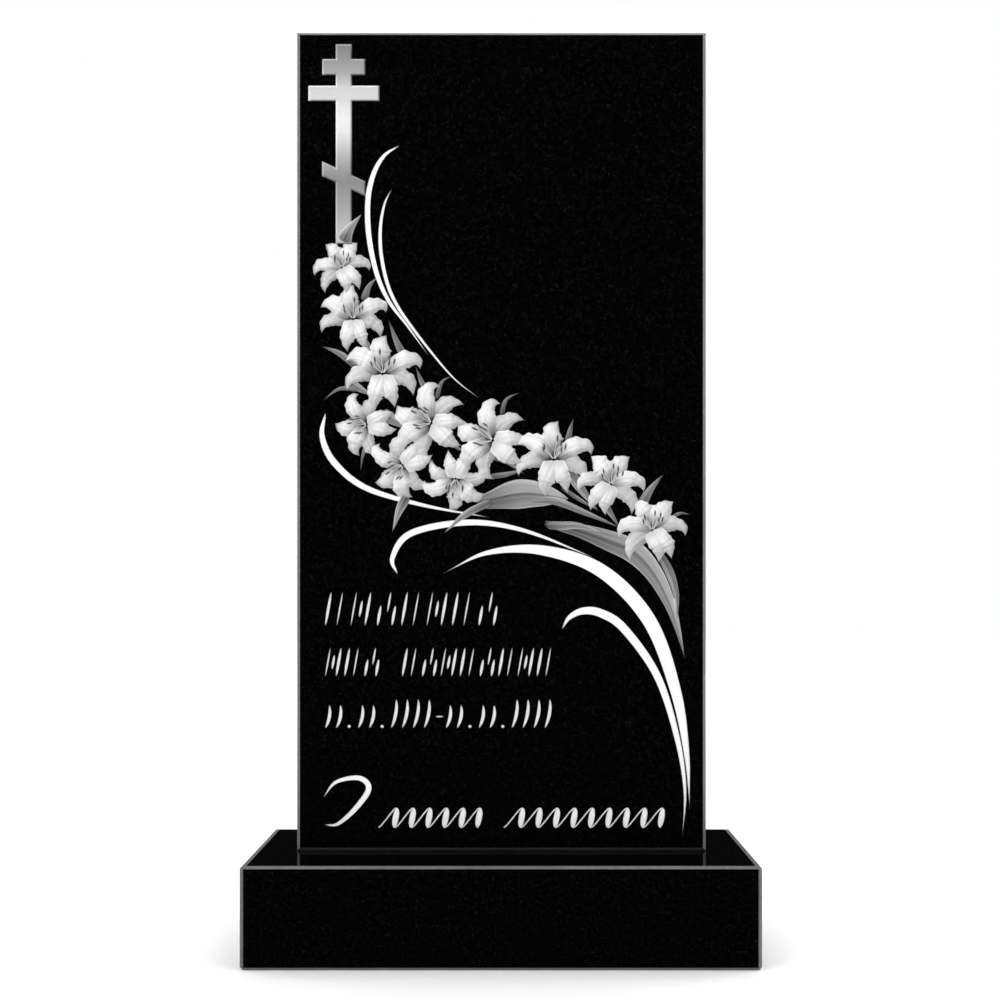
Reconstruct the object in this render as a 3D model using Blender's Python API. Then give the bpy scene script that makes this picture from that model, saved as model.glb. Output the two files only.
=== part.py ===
"""Headstone of black granite: an upright engraved slab that stands on a low, plain plinth.

The frame is metres, +Z up, with the front face towards -Y and the origin under the middle of
the plinth. The engraving is laid out in millimetres on a drawing sheet whose origin is the
lower left corner of the slab's face, and the sheet is then scaled to fit the face.
"""
import math

import bpy
import bmesh
import numpy as np
from mathutils.geometry import delaunay_2d_cdt

# The two stones
PLINTH_WIDTH = 0.605
PLINTH_DEPTH = 0.200
PLINTH_HEIGHT = 0.120
PLINTH_CHAMFER = 0.003
SLAB_WIDTH = 0.500
SLAB_HEIGHT = 1.000
SLAB_THICKNESS = 0.050
SLAB_CHAMFER = 0.004
BED_GAP = 0.0003

# How deep each kind of carving goes below the polished face
LEAF_DEPTH = 0.0020
FLOURISH_DEPTH = 0.0012
OUTER_PETAL_DEPTH = 0.0016
INNER_PETAL_DEPTH = 0.0010
CROSS_DEPTH = 0.0014
STROKE_DEPTH = 0.0012

# The drawing sheet of the engraving, in millimetres
SHEET_WIDTH = 500.0
SHEET_HEIGHT = 1000.0
POINT_MERGE = 0.00002

# The cross: each bar is its middle, its length, its thickness and its slope in degrees
CROSS_BARS = {
    "upright": (57.5, 863.0, 244.0, 20.0, 90.0),
    "title bar": (57.5, 957.0, 53.0, 20.0, 0.0),
    "main bar": (57.5, 925.0, 87.0, 19.0, 0.0),
    "foot bar": (57.5, 820.5, 53.5, 18.5, -25.0),
}

# Each flourish: its widest place as a share of its length, how slender its ends are, its width
# at the widest place, and its knots
FLOURISHES = {
    "upper outer": (0.42, 0.8, 6.8, [(125, 861), (107, 849), (94, 827), (87, 795), (88, 752), (97, 707),
                                     (112, 672), (135, 641), (160, 606)]),
    "upper inner": (0.45, 0.8, 4.6, [(116, 808), (107, 789), (102, 758), (104, 722), (115, 681), (138, 643),
                                     (187, 582), (222, 553)]),
    "left": (0.40, 0.8, 8.0, [(35, 534), (31, 506), (46, 474), (85, 443), (155, 422), (236, 407)]),
    "lower left": (0.45, 0.8, 8.0, [(123, 338), (117, 358), (140, 388), (210, 401), (278, 391), (361, 359)]),
    "large": (0.52, 1.2, 17.5, [(179, 339), (233, 364), (300, 367), (372, 342), (430, 282), (462, 198),
                                (476, 120), (480, 51)]),
    "lower right": (0.45, 0.95, 10.5, [(324, 271), (333, 285), (350, 293), (372, 290), (400, 271), (440, 214),
                                       (464, 140), (474, 75), (471, 17)]),
}
FLOURISH_STEPS = 16
# The inner side of a bend stays within this share of the bend's radius
BEND_SHARE = 0.85

# Each leaf: its width, its base's share of that, how full its point is, and the knots of its
# midrib from its base to its tip
LEAVES = [
    (18, 0.95, 1.3, [(57, 744), (65, 760), (79, 777)]),
    (11, 0.90, 1.2, [(82, 672), (88, 689), (100, 702)]),
    (11, 0.90, 1.2, [(131, 604), (121, 624), (112, 649)]),
    (10, 0.70, 1.8, [(76, 588), (53, 607), (31, 616)]),
    (7, 0.80, 1.5, [(76, 563), (52, 564), (31, 549)]),
    (7, 0.80, 1.3, [(171, 552), (177, 572), (190, 580)]),
    (9, 0.90, 1.3, [(160, 556), (152, 574), (145, 592)]),
    (7, 0.90, 1.2, [(88, 500), (81, 484), (78, 463)]),
    (15, 0.80, 1.4, [(134, 432), (125, 415), (117, 390)]),
    (7, 0.80, 1.3, [(250, 532), (256, 551), (273, 560)]),
    (9, 0.90, 1.2, [(331, 500), (334, 514), (338, 528)]),
    (15, 0.95, 1.2, [(417, 414), (431, 440), (448, 460)]),
    (6, 0.80, 1.3, [(452, 401), (467, 412), (482, 410)]),
    (13, 0.90, 1.3, [(96, 598), (88, 614), (82, 630)]),
    (15, 0.90, 1.6, [(60, 574), (74, 566), (94, 555)]),
    (18, 0.80, 1.6, [(104, 535), (118, 526), (136, 514)]),
    (10, 0.80, 1.8, [(166, 504), (184, 499), (206, 486)]),
    (12, 0.70, 1.5, [(236, 426), (205, 410), (180, 388)]),
    (11, 0.80, 1.6, [(231, 484), (254, 477), (278, 460)]),
    (8, 0.80, 1.8, [(236, 457), (257, 460), (282, 467)]),
    (38, 0.45, 4.0, [(220, 424), (276, 436), (332, 430)]),
    (16, 0.80, 1.8, [(327, 472), (345, 445), (368, 415)]),
    (12, 0.40, 2.0, [(262, 424), (310, 428), (352, 413), (396, 394)]),
    (6, 0.80, 1.8, [(323, 444), (347, 428), (370, 415)]),
    (10, 0.90, 1.4, [(374, 426), (384, 411), (395, 394)]),
    (40, 0.28, 1.5, [(303, 400), (342, 392), (378, 380), (410, 366), (434, 342), (452, 310), (464, 276),
                     (474, 234)]),
    (14, 0.60, 1.8, [(436, 372), (453, 345), (463, 315), (465, 280)]),
]
STEPS_PER_LEAF_KNOT = 2

# Each lily: its throat, the reach of its petals, its turn in degrees and its form
LILIES = [
    (55, 712, 34, 2, "two up"),
    (69, 649, 40, 3, "one up"),
    (105, 582, 45, 0, "one up"),
    (86, 521, 37, 95, "one up"),
    (165, 522, 45, 68, "one up"),
    (240, 501, 45, 68, "one up"),
    (130, 471, 38, 125, "one up"),
    (194, 455, 37, 176, "one up"),
    (314, 477, 45, 0, "one up"),
    (384, 447, 40, 0, "two up, mirrored"),
    (434, 391, 41, 0, "two up"),
]
# Each petal, far ones first, in shares of the reach: its tip, the angles that it leaves and ends
# at, its width, its base's share of that, and how full its left and right shoulders are
PETALS = {
    "one up": [
        (0.12, 1.06, 96, 56, 0.60, 0.74, 8.0, 4.5),
        (-0.96, -0.42, 172, 264, 0.50, 0.90, 2.4, 5.0),
        (0.80, -0.62, 0, -84, 0.52, 0.90, 5.0, 2.4),
        (-1.00, 0.38, 136, 208, 0.64, 0.60, 2.6, 6.0),
        (1.00, 0.18, 48, -84, 0.56, 0.60, 5.5, 2.6),
        (0.33, -0.92, -64, -86, 0.47, 1.00, 3.0, 4.2),
        (-0.24, -0.98, -112, -74, 0.53, 1.00, 4.2, 3.0),
    ],
    "two up": [
        (-0.60, 0.84, 106, 140, 0.60, 0.74, 4.5, 8.0),
        (0.98, -0.16, 36, -92, 0.50, 0.76, 5.0, 2.6),
        (-0.62, -0.90, 206, 276, 0.54, 0.90, 2.4, 4.5),
        (0.64, 0.86, 66, 40, 0.64, 0.60, 7.0, 4.5),
        (-0.98, -0.22, 146, 268, 0.54, 0.62, 2.8, 5.0),
        (0.60, -0.82, -36, -84, 0.51, 1.00, 3.6, 3.8),
        (0.14, -0.94, -78, -104, 0.50, 1.00, 4.0, 3.0),
    ],
}
PETALS_FAR = 3
PETAL_STEPS = 6
PETAL_START = 0.02
PETAL_POINT = 1.4
# How far the petal's curve runs straight on at its throat and at its tip, in its own lengths
PETAL_HANDLES = (0.52, 0.40)
# A leaf or a petal is full by its middle, and its base is rounded off over its first tenth
BLADE_GROWN = 0.5
BLADE_ROUNDING = 0.10
BLADE_BLUNTNESS = 0.12

# The inscription, as rows of slanting strokes that aren't letters. A row is its foot, its
# height, the pitch of its marks, and the mark in each place, where 0 leaves the place bare.
ROW_LEFT = 35.0
ROW_SLANT = 10.0
STROKE_STEPS = 3
NAME_ROWS = [
    (275.0, 41.0, 31.0, [1, 2, 3, 1, 2, 1, 3]),
    (213.0, 35.0, 23.5, [2, 1, 3, 0, 1, 3, 2, 1, 3, 1, 2, 1]),
]
NAME_STROKE_WIDTH = 3.6
# The strokes of each mark: shares of the pitch, the height, the height and the width
NAME_MARKS = {
    1: [(0.00, 0.00, 1.00, 1.0), (0.45, 0.00, 1.00, 0.6)],
    2: [(0.00, 0.00, 1.00, 0.6), (0.28, 0.25, 0.50, 0.9), (0.56, 0.00, 1.00, 1.0)],
    3: [(0.05, 0.00, 0.60, 1.0), (0.35, 0.40, 0.60, 0.7), (0.62, 0.00, 0.60, 1.0)],
}
STROKE_FULLNESS = 0.5
# The narrow row: 1 is a short stroke, 2 a tall one, 3 a dot and 4 a level dash
DATE_ROW = (150.0, 35.0, 13.4, [1, 1, 3, 1, 1, 3, 2, 2, 2, 2, 4, 1, 1, 3, 1, 1, 3, 2, 2, 2, 2])
DATE_STROKE_WIDTH = 4.2
DATE_BOW = 2.5
SHORT_MARK_SHARE = 0.8
DOT_SIZE = 4.0
DASH_WIDTH = 2.1
DASH_HEIGHT_SHARE = 0.4
DASH_LENGTH_SHARE = 0.8
# The running row: an opening sweep, then waves that are thick where they fall
WAVE_FOOT = 29.0
WAVE_HEIGHT = 23.0
WAVE_LEAN = 26.0
WAVE_RUNS = [(100.0, 122.0, 6), (253.0, 192.0, 9)]
WAVE_STEPS = 8
WAVE_THIN = 1.8
WAVE_THICK = 7.5
OPENING_SWEEP = [(33, 66), (48, 84), (76, 89), (88, 76), (72, 52), (50, 33), (34, 32)]
OPENING_STEPS = 14
OPENING_WIDTH = 7.0

# How each stone looks in plain shading: its colour and its roughness
SLAB_LOOK = ((0.010, 0.010, 0.011), 0.08)
PLINTH_LOOK = ((0.012, 0.012, 0.013), 0.12)
CORNERS = [(-1, -1), (1, -1), (1, 1), (-1, 1)]


def smooth_path(knots, steps):
    """Points along a Catmull-Rom curve through the knots, the same number between each two."""
    knots = np.array(knots, dtype=float)
    ends = np.vstack([2 * knots[0] - knots[1], knots, 2 * knots[-1] - knots[-2]])
    places = np.linspace(0, len(knots) - 1, steps + 1)
    span = np.minimum(places.astype(int), len(knots) - 2)
    t = (places - span)[:, None]
    a, b, c, d = ends[span], ends[span + 1], ends[span + 2], ends[span + 3]
    return b + (c - a) * t / 2 + (2 * a - 5 * b + 4 * c - d) * t**2 / 2 + (3 * b - a - 3 * c + d) * t**3 / 2


def ribbon_outline(path, half_left, half_right):
    """The anticlockwise outline of a ribbon along a path, from its half widths at each point.

    It ends in a point, and so does its start if it has no width there. Inside a bend the half
    width stays within a share of the bend's radius, so that the outline can't cross itself.
    """
    heading = np.gradient(path, axis=0)
    pace = np.linalg.norm(heading, axis=1)
    heading /= pace[:, None]
    aside = np.stack([-heading[:, 1], heading[:, 0]], axis=1)
    bend = (np.gradient(heading, axis=0) * aside).sum(axis=1) / pace
    half_left = np.minimum(half_left, BEND_SHARE / np.maximum(bend, 1e-6))
    half_right = np.minimum(half_right, BEND_SHARE / np.maximum(-bend, 1e-6))
    right_side = path - aside * half_right[:, None]
    left_side = path + aside * half_left[:, None]
    last = None if half_left[0] > 0 else 0
    return np.vstack([right_side, left_side[-2:last:-1]])


def tapered_outline(path, width, widest=0.5, fullness=0.8):
    """A ribbon that is pointed at both ends, and widest at the given share of its length."""
    along = np.linspace(0, 1, len(path))
    swell = np.sin(math.pi * along ** (math.log(0.5) / math.log(widest)))
    half_widths = width / 2 * np.clip(swell, 0, 1) ** fullness
    half_widths[0] = half_widths[-1] = 0
    return ribbon_outline(path, half_widths, half_widths)


def blade_half(along, width, base, full):
    """Half a blade's width: it grows from the base's share to the whole by the middle, and falls
    to nothing at the tip as one less a power; the higher the power, the blunter the shoulder."""
    grown = np.clip(along / BLADE_GROWN, 0, 1)
    body = base + (1 - base) * grown**2 * (3 - 2 * grown)
    rounded = np.sqrt(1 - (1 - np.clip(along / BLADE_ROUNDING, BLADE_BLUNTNESS, 1)) ** 2)
    return width / 2 * body * rounded * (1 - along**full)


def bar_outline(x, z, length, thickness, slope):
    """A bar of the cross; a sloping bar keeps its ends upright."""
    if slope == 90.0:
        length, thickness, slope = thickness, length, 0.0
    rise = math.tan(math.radians(slope)) * length / 2
    return np.array([(x + side * length / 2, z + side * rise + end * thickness / 2) for side, end in CORNERS])


def leaf_outline(width, base, full, knots):
    """A leaf: a blade along a smooth midrib."""
    midrib = smooth_path(knots, STEPS_PER_LEAF_KNOT * len(knots))
    half = blade_half(np.linspace(0, 1, len(midrib)), width, base, full)
    return ribbon_outline(midrib, half, half)


def petal_midrib(tip, leaves_at, ends_at):
    """A cubic Bezier curve from the throat to the tip, with the angles that it leaves and ends at."""
    t = np.linspace(0, 1, PETAL_STEPS + 1)[:, None]
    tip = np.array(tip)
    length = np.linalg.norm(tip)
    out = np.array([math.cos(math.radians(leaves_at)), math.sin(math.radians(leaves_at))])
    home = np.array([math.cos(math.radians(ends_at)), math.sin(math.radians(ends_at))])
    first, second = out * length * PETAL_HANDLES[0], tip - home * length * PETAL_HANDLES[1]
    start = out * PETAL_START
    return start * (1 - t) ** 3 + 3 * first * t * (1 - t) ** 2 + 3 * second * t**2 * (1 - t) + tip * t**3


def petal_outline(tip_x, tip_z, leaves_at, ends_at, width, base, full_left, full_right):
    """One petal about its throat, in shares of the reach. Each side has a shoulder of its own."""
    midrib = petal_midrib((tip_x, tip_z), leaves_at, ends_at)
    along = np.linspace(0, 1, PETAL_STEPS + 1)
    left, right = (blade_half(along, width, base, full) * (1 - along**full) ** (PETAL_POINT - 1)
                   for full in (full_left, full_right))
    return ribbon_outline(midrib, left, right)


def lily_cuts(x, z, reach, turn, form):
    """The cuts of one lily: three far petals, then the near ones over them."""
    cos_turn, sin_turn = math.cos(math.radians(turn)), math.sin(math.radians(turn))
    turned = np.array([[cos_turn, sin_turn], [-sin_turn, cos_turn]])
    cuts = []
    for place, petal in enumerate(PETALS[form.removesuffix(", mirrored")]):
        outline = petal_outline(*petal)
        if form.endswith("mirrored"):
            outline = outline[::-1] * np.array([-1, 1])
        depth = OUTER_PETAL_DEPTH if place < PETALS_FAR else INNER_PETAL_DEPTH
        cuts.append((depth, np.array([x, z]) + reach * outline @ turned))
    return cuts


def stroke_outline(foot_x, foot_z, height, width, bow=0.0):
    """One slanting stroke of a row: a narrow lens, straight or bowed to its right."""
    along = np.linspace(0, 1, STROKE_STEPS + 1)[:, None]
    lean = math.tan(math.radians(ROW_SLANT)) * height
    line = np.array([foot_x, foot_z]) + along * np.array([lean, height])
    line = line + np.array([bow, 0]) * 4 * along * (1 - along)
    return tapered_outline(line, width, fullness=STROKE_FULLNESS)


def name_row_outlines(foot, height, pitch, marks):
    """A row of marks, each a few parallel strokes of different heights."""
    outlines = []
    for place, mark in enumerate(marks):
        for aside, raised, tall, thick in NAME_MARKS.get(mark, []):
            foot_x = ROW_LEFT + (place + aside) * pitch + raised * height * math.tan(math.radians(ROW_SLANT))
            outlines.append(stroke_outline(foot_x, foot + raised * height, tall * height,
                                           thick * NAME_STROKE_WIDTH))
    return outlines


def date_row_outlines(foot, height, pitch, marks):
    """A row of narrow bowed strokes in groups, with dots and a dash between the groups."""
    outlines = []
    for place, mark in enumerate(marks):
        left = ROW_LEFT + place * pitch
        if mark == 1:
            outlines.append(stroke_outline(left, foot, SHORT_MARK_SHARE * height, DATE_STROKE_WIDTH, DATE_BOW))
        if mark == 2:
            outlines.append(stroke_outline(left, foot, height, DATE_STROKE_WIDTH, DATE_BOW))
        if mark == 3:
            outlines.append(stroke_outline(left + DOT_SIZE / 2, foot, DOT_SIZE, DOT_SIZE))
        if mark == 4:
            middle = foot + DASH_HEIGHT_SHARE * height
            end = left + DASH_LENGTH_SHARE * pitch
            outlines.append(tapered_outline(np.linspace((left, middle), (end, middle), STROKE_STEPS + 1),
                                            DASH_WIDTH))
    return outlines


def wave_outline(left, length, waves):
    """A run of waves that lean to the right, thin where they rise and turn, thick where they fall."""
    along = np.linspace(0, 1, waves * WAVE_STEPS + 1)
    turn = 2 * math.pi * waves * along
    rise = WAVE_HEIGHT / 2 * (1 - np.cos(turn))
    lean = math.tan(math.radians(WAVE_LEAN)) * rise
    line = np.stack([left + along * length + lean, WAVE_FOOT + rise], axis=1)
    falling = np.clip(-np.sin(turn), 0, 1)
    half_widths = (WAVE_THIN + (WAVE_THICK - WAVE_THIN) * falling) / 2
    return ribbon_outline(line, half_widths, half_widths)


def engraving_cuts():
    """Every cut of the front face as its depth and its outline; a later cut lies over an earlier."""
    cuts = [(FLOURISH_DEPTH, tapered_outline(smooth_path(knots, FLOURISH_STEPS), width, widest, fullness))
            for widest, fullness, width, knots in FLOURISHES.values()]
    cuts += [(CROSS_DEPTH, bar_outline(*bar)) for bar in CROSS_BARS.values()]
    cuts += [(LEAF_DEPTH, leaf_outline(*leaf)) for leaf in LEAVES]
    for lily in LILIES:
        cuts += lily_cuts(*lily)
    strokes = date_row_outlines(*DATE_ROW)
    for row in NAME_ROWS:
        strokes += name_row_outlines(*row)
    strokes += [wave_outline(*run) for run in WAVE_RUNS]
    strokes.append(tapered_outline(smooth_path(OPENING_SWEEP, OPENING_STEPS), OPENING_WIDTH))
    return cuts + [(STROKE_DEPTH, outline) for outline in strokes]


def on_face(outline):
    """Move an outline from the drawing sheet to the middle of the face, scaled to fit it."""
    scale = min(SLAB_WIDTH / SHEET_WIDTH, SLAB_HEIGHT / SHEET_HEIGHT)
    return (outline - np.array([SHEET_WIDTH / 2, SHEET_HEIGHT / 2])) * scale


def new_material(name, colour, roughness):
    material = bpy.data.materials.new(name)
    material.use_nodes = True
    shader = material.node_tree.nodes["Principled BSDF"]
    shader.inputs["Base Color"].default_value = (*colour, 1.0)
    shader.inputs["Roughness"].default_value = roughness
    shader.inputs["Metallic"].default_value = 0.0
    return material


def new_object(name, bm, material, place):
    bmesh.ops.recalc_face_normals(bm, faces=bm.faces)
    mesh = bpy.data.meshes.new(name)
    bm.to_mesh(mesh)
    bm.free()
    mesh.materials.append(material)
    thing = bpy.data.objects.new(name, mesh)
    thing.location = place
    bpy.context.collection.objects.link(thing)
    return thing


def slab_sides(bm):
    """Four rings of corners from the front to the back: the slab's chamfered sides and its back."""
    rings = []
    half_depth = SLAB_THICKNESS / 2
    for y, inset in ((-half_depth, SLAB_CHAMFER), (-half_depth + SLAB_CHAMFER, 0),
                     (half_depth - SLAB_CHAMFER, 0), (half_depth, SLAB_CHAMFER)):
        half_width, half_height = SLAB_WIDTH / 2 - inset, SLAB_HEIGHT / 2 - inset
        rings.append([bm.verts.new((a * half_width, y, b * half_height)) for a, b in CORNERS])
    for near, far in zip(rings, rings[1:]):
        for i in range(4):
            bm.faces.new((near[i], near[i - 1], far[i - 1], far[i]))
    bm.faces.new(rings[-1])
    return rings[0]


def carved_front(bm, corners, cuts):
    """Fill the front ring with the polished face, the floors of the cuts and their upright walls.

    The face and every outline are triangulated together. Each triangle lies as deep as the last
    cut that covers it, and where two neighbours differ in depth a wall joins them.
    """
    front = corners[0].co.y
    flat = [(corner.co.x, corner.co.z) for corner in corners]
    loops = [list(range(4))]
    depths = [0.0]
    for depth, outline in cuts:
        loops.append(list(range(len(flat), len(flat) + len(outline))))
        flat += [tuple(point) for point in on_face(outline)]
        depths.append(depth)
    points, _, triangles, origin, _, covers = delaunay_2d_cdt(flat, [], loops, 1, POINT_MERGE)
    levels = [depths[max(cover)] for cover in covers]

    stacks = [{} for _ in points]
    for triangle, level in zip(triangles, levels):
        for v in triangle:
            stacks[v].setdefault(level, None)
    for v, (point, stack) in enumerate(zip(points, stacks)):
        for level in stack:
            corner = next((i for i in origin[v] if i < 4), None)
            stack[level] = corners[corner] if corner is not None else bm.verts.new(
                (point.x, front + level, point.y))

    sides = {}
    for triangle, level in zip(triangles, levels):
        bm.faces.new([stacks[v][level] for v in triangle])
        for v, w in zip(triangle, triangle[1:] + triangle[:1]):
            sides.setdefault(frozenset((v, w)), []).append(level)
    for edge, pair in sides.items():
        if len(pair) == 2 and pair[0] != pair[1]:
            v, w = edge
            upright_wall(bm, stacks[v], stacks[w], min(pair), max(pair))


def upright_wall(bm, stack_a, stack_b, high, low):
    """Triangles between two upright rows of points, taking the nearer next point each time."""
    row_a = [stack_a[level] for level in sorted(stack_a) if high <= level <= low]
    row_b = [stack_b[level] for level in sorted(stack_b) if high <= level <= low]
    i = j = 0
    while i + 1 < len(row_a) or j + 1 < len(row_b):
        take_a = j + 1 == len(row_b) or (i + 1 < len(row_a) and row_a[i + 1].co.y <= row_b[j + 1].co.y)
        if take_a:
            bm.faces.new((row_a[i], row_a[i + 1], row_b[j]))
            i += 1
        else:
            bm.faces.new((row_a[i], row_b[j + 1], row_b[j]))
            j += 1


def make_plinth():
    """The plain block under the slab, with every edge chamfered."""
    bm = bmesh.new()
    bmesh.ops.create_cube(bm, size=1.0)
    bmesh.ops.scale(bm, vec=(PLINTH_WIDTH, PLINTH_DEPTH, PLINTH_HEIGHT), verts=bm.verts)
    bmesh.ops.bevel(bm, geom=bm.edges[:], offset=PLINTH_CHAMFER, segments=1, affect="EDGES")
    stone = new_material("plinth_granite", *PLINTH_LOOK)
    return new_object("plinth", bm, stone, (0, 0, PLINTH_HEIGHT / 2))


def make_stela():
    """The engraved slab, standing upright on the middle of the plinth."""
    bm = bmesh.new()
    front_corners = slab_sides(bm)
    carved_front(bm, front_corners, engraving_cuts())
    stone = new_material("stela_granite", *SLAB_LOOK)
    return new_object("stela", bm, stone, (0, 0, PLINTH_HEIGHT + BED_GAP + SLAB_HEIGHT / 2))


for old in list(bpy.data.objects):
    bpy.data.objects.remove(old, do_unlink=True)

make_plinth()
make_stela()
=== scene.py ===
import math

import bmesh
import bpy
import numpy as np
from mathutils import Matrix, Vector
from mathutils.geometry import delaunay_2d_cdt


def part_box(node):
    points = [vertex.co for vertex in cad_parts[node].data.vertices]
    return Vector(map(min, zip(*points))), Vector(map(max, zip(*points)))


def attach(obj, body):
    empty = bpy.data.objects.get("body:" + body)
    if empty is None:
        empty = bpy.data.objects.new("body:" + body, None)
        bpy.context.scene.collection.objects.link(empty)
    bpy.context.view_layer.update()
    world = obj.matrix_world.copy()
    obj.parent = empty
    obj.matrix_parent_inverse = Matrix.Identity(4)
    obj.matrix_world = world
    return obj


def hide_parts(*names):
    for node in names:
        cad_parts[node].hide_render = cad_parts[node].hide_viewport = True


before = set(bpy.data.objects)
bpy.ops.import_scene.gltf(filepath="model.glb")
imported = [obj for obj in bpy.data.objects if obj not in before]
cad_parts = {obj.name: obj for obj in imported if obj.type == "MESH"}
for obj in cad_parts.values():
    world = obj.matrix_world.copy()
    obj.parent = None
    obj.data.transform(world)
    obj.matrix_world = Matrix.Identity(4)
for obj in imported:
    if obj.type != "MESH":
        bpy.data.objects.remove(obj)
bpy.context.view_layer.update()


# The studio: a white room with a pale floor. Two softboxes stand in front, to the left and to
# the right, a panel hangs overhead, and a tall strip stands at each side to light the edges. The
# polish mirrors none of them, but the room: dark in front and behind, and paler at the sides.
CAMERA_PLACE = (0.0124, -1.432, 0.4547)
CAMERA_LENS = 41.5
CAMERA_SHIFT = (-0.0116, 0.077)
FLOOR_SIZE = 14.0
# Each lamp: its place, what it points at, its width and height, and its radiance
LAMPS = {
    "left_softbox": ((-1.7, -1.5, 1.7), (0.0, 0.0, 0.6), (1.1, 1.1), 5.0),
    "right_softbox": ((1.7, -1.5, 1.5), (0.0, 0.0, 0.6), (1.1, 1.1), 3.2),
    "overhead_panel": ((0.0, 0.2, 3.0), (0.0, 0.2, 0.0), (2.6, 2.2), 2.6),
    "left_strip": ((-1.7, 0.3, 1.2), (0.0, 0.0, 0.7), (0.8, 2.4), 2.4),
    "right_strip": ((1.7, 0.3, 1.2), (0.0, 0.0, 0.7), (0.8, 2.4), 3.2),
}


def node(tree, kind, settings=None, **inputs):
    """Adds a node to a tree. An input is a plain value, or a socket that is linked to it."""
    made = tree.nodes.new(kind)
    for name, value in (settings or {}).items():
        setattr(made, name, value)
    for name, value in inputs.items():
        socket = made.inputs[int(name[1:]) if name[1:].isdigit() else name.replace("_", " ")]
        if isinstance(value, bpy.types.NodeSocket):
            tree.links.new(value, socket)
        else:
            socket.default_value = value
    return made


def new_material(name):
    """A material with nothing in it but its output."""
    material = bpy.data.materials.new(name)
    material.use_nodes = True
    material.node_tree.nodes.clear()
    return material


def lamp(name, place, target, size, radiance):
    """A rectangular area light; its power is pi times its radiance times its area."""
    light = bpy.data.lights.new(name, "AREA")
    light.shape = "RECTANGLE"
    light.size, light.size_y = size
    light.energy = math.pi * radiance * size[0] * size[1]
    stand = bpy.data.objects.new(name, light)
    stand.visible_glossy = False
    stand.location = place
    stand.rotation_euler = (Vector(target) - Vector(place)).to_track_quat("-Z", "Y").to_euler()
    bpy.context.collection.objects.link(stand)


camera = bpy.data.objects.new("camera", bpy.data.cameras.new("camera"))
camera.location = CAMERA_PLACE
camera.rotation_euler = (math.radians(90), 0, 0)
camera.data.lens = CAMERA_LENS
camera.data.sensor_width = 36.0
camera.data.shift_x, camera.data.shift_y = CAMERA_SHIFT
bpy.context.collection.objects.link(camera)
bpy.context.scene.camera = camera
bpy.context.scene.view_settings.view_transform = "Standard"

for name, (place, target, size, radiance) in LAMPS.items():
    lamp(name, place, target, size, radiance)

world = bpy.data.worlds.new("white_room")
world.use_nodes = True
world.node_tree.nodes.clear()
ray = node(world.node_tree, "ShaderNodeLightPath")
soft = node(world.node_tree, "ShaderNodeBackground", Color=(1, 1, 1, 1), Strength=0.50)
seen = node(world.node_tree, "ShaderNodeBackground", Color=(1, 1, 1, 1), Strength=1.00)
looking = node(world.node_tree, "ShaderNodeTexCoord").outputs["Generated"]
ahead = node(world.node_tree, "ShaderNodeSeparateXYZ", _0=looking)
ahead = node(world.node_tree, "ShaderNodeMath", {"operation": "ABSOLUTE"}, _0=ahead.outputs[1])
aside = node(world.node_tree, "ShaderNodeMapRange", {"interpolation_type": "SMOOTHERSTEP"},
             Value=ahead.outputs[0], From_Min=0.88, From_Max=0.30, To_Min=0.005, To_Max=0.75)
walls = node(world.node_tree, "ShaderNodeBackground", Color=(1, 1, 1, 1), Strength=aside.outputs[0])
mirrored = node(world.node_tree, "ShaderNodeMixShader", _0=ray.outputs["Is Glossy Ray"],
                _1=soft.outputs[0], _2=walls.outputs[0])
shown = node(world.node_tree, "ShaderNodeMixShader", _0=ray.outputs["Is Camera Ray"],
             _1=mirrored.outputs[0], _2=seen.outputs[0])
node(world.node_tree, "ShaderNodeOutputWorld", Surface=shown.outputs[0])
bpy.context.scene.world = world

floor_mesh = bpy.data.meshes.new("floor")
corner = FLOOR_SIZE / 2
floor_mesh.from_pydata([(-corner, -corner, -0.0004), (corner, -corner, -0.0004),
                        (corner, corner, -0.0004), (-corner, corner, -0.0004)], [], [(0, 1, 2, 3)])
floor = bpy.data.objects.new("floor", floor_mesh)
bpy.context.collection.objects.link(floor)
floor.visible_glossy = False
pale = new_material("pale_floor")
coords = node(pale.node_tree, "ShaderNodeTexCoord")
mottle = node(pale.node_tree, "ShaderNodeTexNoise", Vector=coords.outputs["Object"], Scale=3.0, Detail=4.0)
tint = node(pale.node_tree, "ShaderNodeMapRange", Value=mottle.outputs["Fac"], To_Min=0.90, To_Max=0.94)
# Past about a metre from the middle the floor glows more and more: painted light that fades it into the white
# room
reach = node(pale.node_tree, "ShaderNodeVectorMath", {"operation": "LENGTH"}, _0=coords.outputs["Object"])
glow = node(pale.node_tree, "ShaderNodeMapRange", {"interpolation_type": "SMOOTHSTEP"},
            Value=reach.outputs["Value"], From_Min=0.9, From_Max=3.2, To_Min=0.0, To_Max=0.75)
paint = node(pale.node_tree, "ShaderNodeBsdfPrincipled", Base_Color=tint.outputs[0], Roughness=0.9,
             Emission_Color=(1, 1, 1, 1), Emission_Strength=glow.outputs[0])
node(pale.node_tree, "ShaderNodeOutputMaterial", Surface=paint.outputs[0])
floor_mesh.materials.append(pale)


# The plinth: one low block of black granite, polished on its top, front and ends. Its back is
# honed and its underside is as sawn. Every edge is chamfered and ground matt, and painted a pale
# grey that stands in for its highlights: a painted highlight.
plinth_low, plinth_high = (np.array(corner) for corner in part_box("plinth"))
PLINTH_CHAMFER = 0.003
# How far from the ends the pale grey of the edges, a painted highlight, reaches in over the polish
PLINTH_END_REACH = 0.0046
PLINTH_TOP_REACH = 0.0075
# Colours of the finishes; the chamfers' pale grey is a painted highlight as well as a ground finish
GROUND_HIGHLIGHT_COLOUR = (0.115, 0.115, 0.117, 1)
HONED_COLOUR = (0.030, 0.030, 0.031, 1)
SAWN_COLOUR = (0.085, 0.085, 0.087, 1)


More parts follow.
